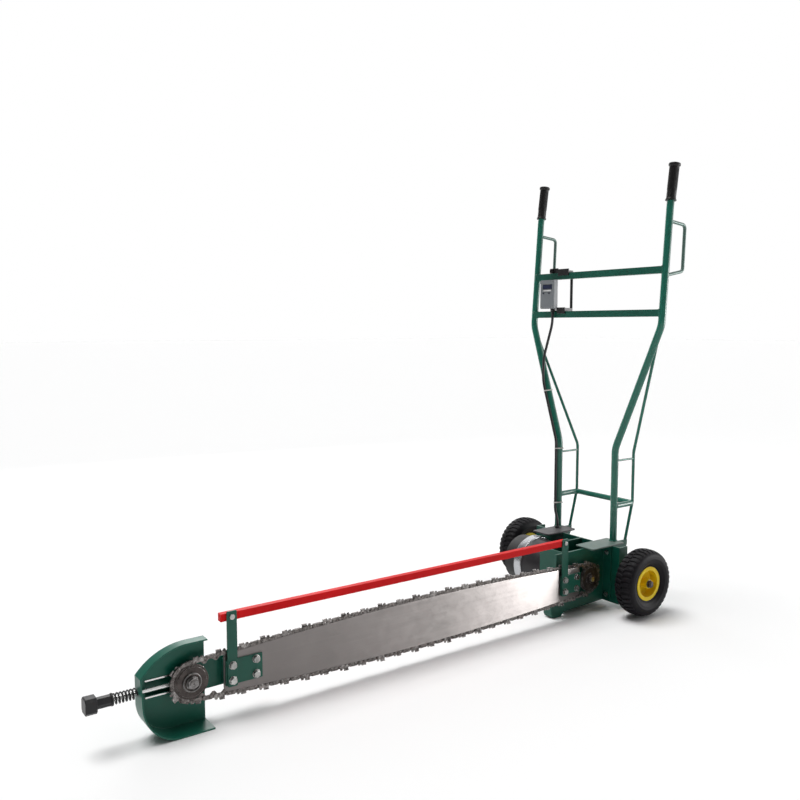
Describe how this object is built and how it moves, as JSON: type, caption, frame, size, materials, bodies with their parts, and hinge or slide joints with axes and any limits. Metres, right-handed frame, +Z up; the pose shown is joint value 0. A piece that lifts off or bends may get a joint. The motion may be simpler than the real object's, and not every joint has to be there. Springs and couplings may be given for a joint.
{
  "type": "chain trencher",
  "caption": "Hand-pushed electric chain trencher: a long flat chain bar with a nose guard on a two-wheeled tubular handle frame.",
  "frame": {"origin": "centre of the footprint, on the ground", "axes": "+Z up, +Y from the nose guard back to the handles, +X to the side the chain bar is on"},
  "size_m": [0.726, 2.2013, 1.7083],
  "materials": {
    "green_paint": "gloss",
    "bare_rod": "satin",
    "black_rubber": "matte",
    "tyre_rubber": "matte",
    "yellow_paint": "gloss",
    "steel": "satin",
    "lid_paint": "satin",
    "dark_paint": "satin",
    "motor_band": "satin",
    "laminations": "matte",
    "black_plastic": "matte",
    "chain_steel": "satin",
    "bar_steel": "satin",
    "red_paint": "gloss",
    "black_steel": "matte",
    "box_grey": "matte",
    "display_blue": "gloss",
    "button_dark": "gloss",
    "board_green": "matte"
  },
  "bodies": {
    "frame": {"main_tubes": "green_paint", "crossbars": "green_paint", "lower_stay": "green_paint", "brace_rods": "green_paint", "drive_plate": "green_paint", "rear_channel": "green_paint", "frame_gussets": "green_paint", "base_walls": "green_paint", "bar_clamps": "green_paint", "guard_posts": "green_paint", "nose_guard": "green_paint", "hand_hoops": "bare_rod", "handle_grips": "black_rubber", "axle": "steel", "axle_fasteners": "steel", "frame_fasteners": "steel", "bar_bolts": "steel", "bar_nuts": "steel", "slide_rails": "steel", "shaft_bearings": "steel", "sprocket_cover": "lid_paint", "motor_cover": "dark_paint", "motor_shields": "dark_paint", "bearing_carrier": "dark_paint", "control_bracket": "dark_paint", "terminal_box": "dark_paint", "motor_housing": "motor_band", "motor_stator": "laminations", "fan_cowl": "black_plastic", "cable_fittings": "black_plastic", "motor_cable": "black_plastic", "bar_plate": "bar_steel", "guard_bar": "red_paint", "chain_drive_links": "chain_steel", "chain_straps": "chain_steel", "chain_cutters": "chain_steel", "tension_spring": "black_steel", "box_body": "box_grey", "box_lid": "box_grey", "display_window": "display_blue", "control_board": "board_green"},
    "left_wheel": {"left_tyre": "tyre_rubber", "left_rim": "yellow_paint", "left_hub_parts": "steel"},
    "right_wheel": {"right_tyre": "tyre_rubber", "right_rim": "yellow_paint", "right_hub_parts": "steel"},
    "drive_train": {"motor_rotor": "laminations", "motor_fan": "black_plastic", "drive_shaft": "steel", "drive_sprocket": "chain_steel", "sprocket_nut": "chain_steel"},
    "carriage": {"nose_carriage": "chain_steel", "nose_nut": "chain_steel"},
    "nose_wheel": {"nose_sprocket": "chain_steel", "nose_bearing": "steel"},
    "tension_screw": {"tension_rod": "steel", "tension_knob": "black_steel"},
    "start_button": {"start_button": "button_dark"},
    "stop_button": {"stop_button": "button_dark"}
  },
  "joints": [
    {"name": "left_wheel_spin", "type": "hinge", "parent": "frame", "child": "left_wheel", "pos_m": [-0.319, 0.9167, 0.13], "axis": [1, 0, 0], "continuous": true},
    {"name": "right_wheel_spin", "type": "hinge", "parent": "frame", "child": "right_wheel", "pos_m": [0.319, 0.9167, 0.13], "axis": [1, 0, 0], "continuous": true},
    {"name": "drive_spin", "type": "hinge", "parent": "frame", "child": "drive_train", "pos_m": [0.168, 0.7867, 0.13], "axis": [1, 0, 0], "continuous": true},
    {"name": "tension_turn", "type": "hinge", "parent": "frame", "child": "tension_screw", "pos_m": [0.152, -1.06869, 0.13], "axis": [0, 1, 0], "range_deg": [0, 2160]},
    {"name": "carriage_slide", "type": "slide", "parent": "frame", "child": "carriage", "axis": [0, 1, 0], "range_m": [0, 0.015]},
    {"name": "nose_spin", "type": "hinge", "parent": "carriage", "child": "nose_wheel", "pos_m": [0.168, -0.81869, 0.13], "axis": [1, 0, 0], "continuous": true},
    {"name": "start_press", "type": "slide", "parent": "frame", "child": "start_button", "axis": [0, 1, 0], "range_m": [0, 0.002], "stiffness_N_per_m": 300, "springref_m": -0.0005},
    {"name": "stop_press", "type": "slide", "parent": "frame", "child": "stop_button", "axis": [0, 1, 0], "range_m": [0, 0.002], "stiffness_N_per_m": 300, "springref_m": -0.0005}
  ],
  "couplings": [
    {"joint": "carriage_slide", "follows": "tension_turn", "m_per_rad": 0.000397},
    {"joint": "nose_spin", "follows": "drive_spin", "ratio": 1}
  ]
}
